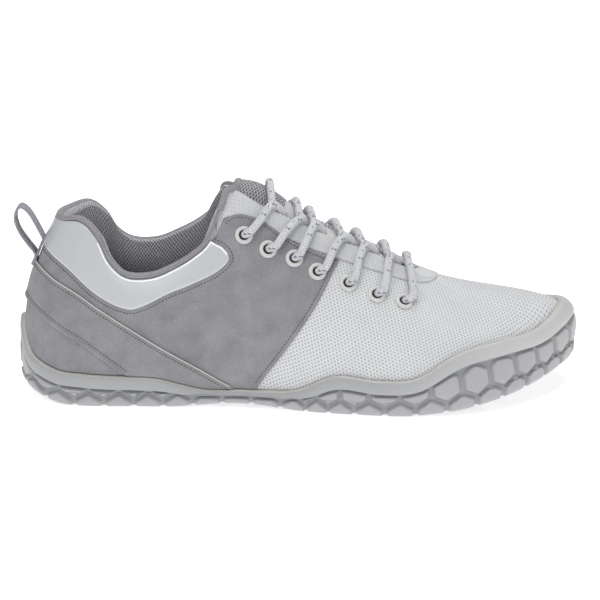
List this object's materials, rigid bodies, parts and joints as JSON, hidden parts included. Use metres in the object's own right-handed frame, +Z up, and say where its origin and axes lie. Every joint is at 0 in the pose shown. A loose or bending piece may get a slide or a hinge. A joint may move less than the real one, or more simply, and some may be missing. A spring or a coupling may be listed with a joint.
{
  "type": "barefoot shoe",
  "caption": "Low lace-up barefoot shoe for the right foot: thin flexible rubber sole with hexagonal lugs, mesh vamp, padded collar, crossed laces and a heel pull loop.",
  "frame": {"origin": "centre of the footprint of the whole shoe, on the floor it stands on", "axes": "+X from heel to toe, +Y towards the big-toe side, +Z up"},
  "size_m": [0.2886, 0.1048, 0.1094],
  "materials": {
    "sole_rubber": "satin light grey moulded rubber",
    "mesh": "near-white woven mesh",
    "insole_foam": "dark grey textile over foam",
    "lining": "dark grey padded spacer mesh",
    "tongue_mesh": "dark grey spacer mesh with a satin facing",
    "nubuck": "matt warm grey nubuck",
    "patent": "high gloss pale patent",
    "webbing": "grey ribbed webbing",
    "eyelet_enamel": "white enamel, satin",
    "lace_cord": "white round braid with grey flecks"
  },
  "bodies": {
    "root": {"sole": "sole_rubber", "upper": "mesh", "tongue": "tongue_mesh", "insole": "insole_foam", "collar_padding": "lining", "quarter": "nubuck", "heel_strap": "nubuck", "heel_counter": "nubuck", "collar_patch": "patent", "pull_loop": "webbing", "eyelet_outer_1": "eyelet_enamel", "eyelet_inner_1": "eyelet_enamel", "eyelet_outer_2": "eyelet_enamel", "eyelet_inner_2": "eyelet_enamel", "eyelet_outer_3": "eyelet_enamel", "eyelet_inner_3": "eyelet_enamel", "eyelet_outer_4": "eyelet_enamel", "eyelet_inner_4": "eyelet_enamel", "eyelet_outer_5": "eyelet_enamel", "eyelet_inner_5": "eyelet_enamel", "eyelet_outer_6": "eyelet_enamel", "eyelet_inner_6": "eyelet_enamel", "eyelet_outer_7": "eyelet_enamel", "eyelet_inner_7": "eyelet_enamel", "lace_crossing_1": "lace_cord", "lace_crossing_2": "lace_cord", "lace_crossing_3": "lace_cord", "lace_crossing_4": "lace_cord", "lace_crossing_5": "lace_cord", "lace_crossing_6": "lace_cord", "lace_bar": "lace_cord"}
  },
  "joints": []
}
